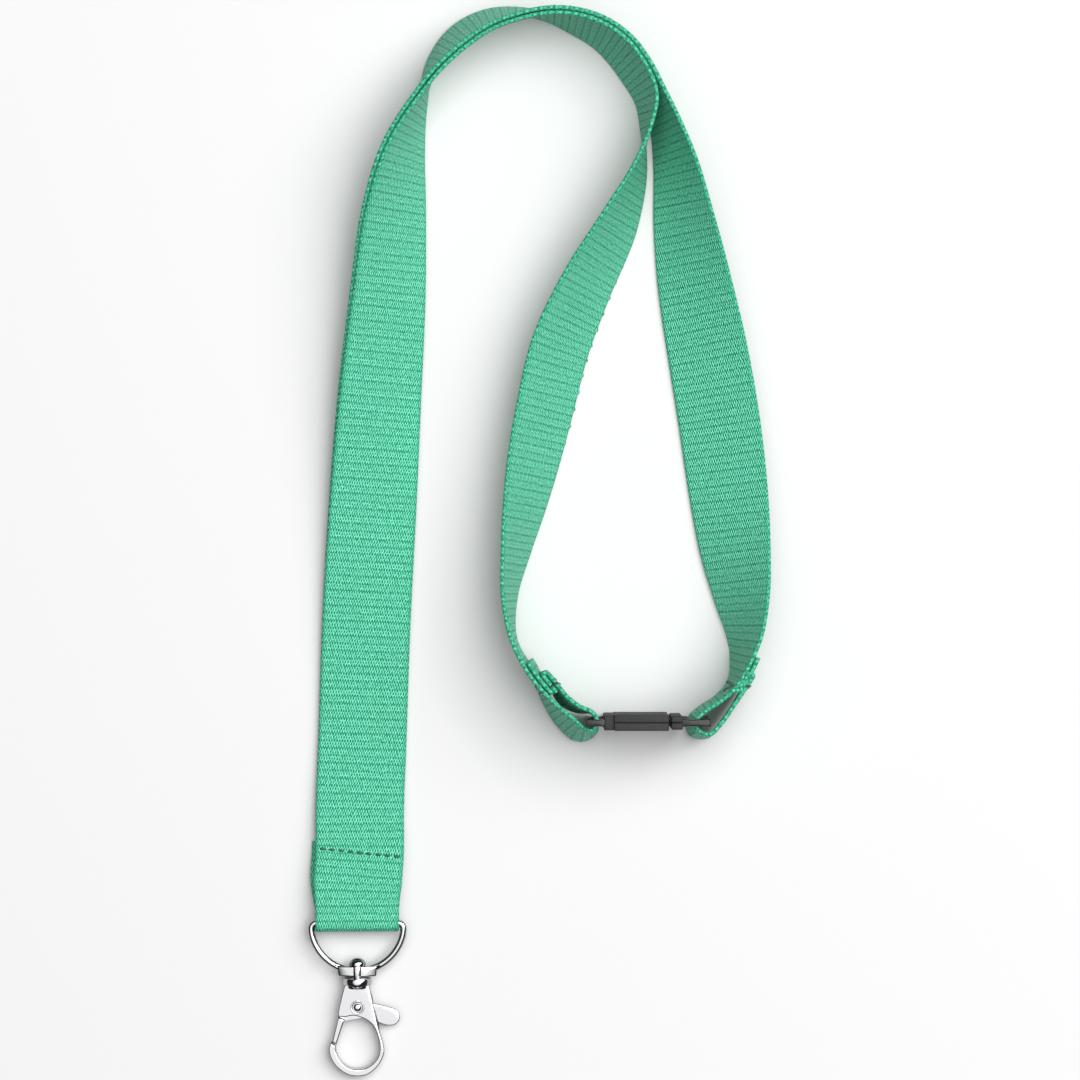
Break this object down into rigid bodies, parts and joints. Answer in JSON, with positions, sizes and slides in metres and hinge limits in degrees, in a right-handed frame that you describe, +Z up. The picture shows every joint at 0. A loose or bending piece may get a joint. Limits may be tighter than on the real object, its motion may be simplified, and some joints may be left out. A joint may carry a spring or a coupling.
{
  "type": "lanyard badge holder",
  "caption": "Flat webbing neck lanyard lying in a loop, with a D-ring and swivelling lobster claw at one end and a breakaway buckle at the neck.",
  "frame": {"origin": "centre of the lanyard's footprint, on the table it lies on", "axes": "+X across the strap towards the buckle's side, +Y from the claw towards the neck arch, +Z up from the table"},
  "size_m": [0.1049, 0.2429, 0.0246],
  "materials": {
    "webbing": "ribbed polyester webbing, slightly glossy",
    "thread": "polyester sewing thread",
    "nickel": "nickel-plated, polished",
    "spring_wire": "bare spring wire",
    "buckle_plastic": "black acetal, fine moulded texture on the broad faces"
  },
  "bodies": {
    "strap": {"strap_front": "webbing", "strap_back": "webbing", "hook_end_stitches": "thread", "socket_loop_stitches": "thread", "buckle_socket": "buckle_plastic"},
    "ring": {"d_ring": "nickel"},
    "claw": {"swivel_stud": "nickel", "claw_body": "nickel", "gate_rivet": "nickel", "gate_spring": "spring_wire"},
    "gate": {"gate_lever": "nickel"},
    "plug_end": {"strap_back_end": "webbing", "plug_loop_stitches": "thread", "buckle_plug": "buckle_plastic"}
  },
  "joints": [
    {"name": "ring_hinge", "type": "hinge", "parent": "strap", "child": "ring", "pos_m": [-0.041, -0.0855, 0.00431], "axis": [1, 0, 0], "range_deg": [-140, 130]},
    {"name": "claw_swivel", "type": "hinge", "parent": "ring", "child": "claw", "pos_m": [-0.041, -0.09647, 0.00349], "axis": [0, -0.9972, -0.075], "continuous": true},
    {"name": "gate_pivot", "type": "hinge", "parent": "claw", "child": "gate", "pos_m": [-0.041, -0.10455, 0.00288], "axis": [0, -0.075, 0.9972], "range_deg": [0, 26], "stiffness_Nm_per_rad": 0.02, "springref_deg": -22.92, "deforming": ["gate_spring"]},
    {"name": "buckle_release", "type": "slide", "parent": "strap", "child": "plug_end", "axis": [1, 0, 0], "range_m": [0, 0.012]}
  ]
}
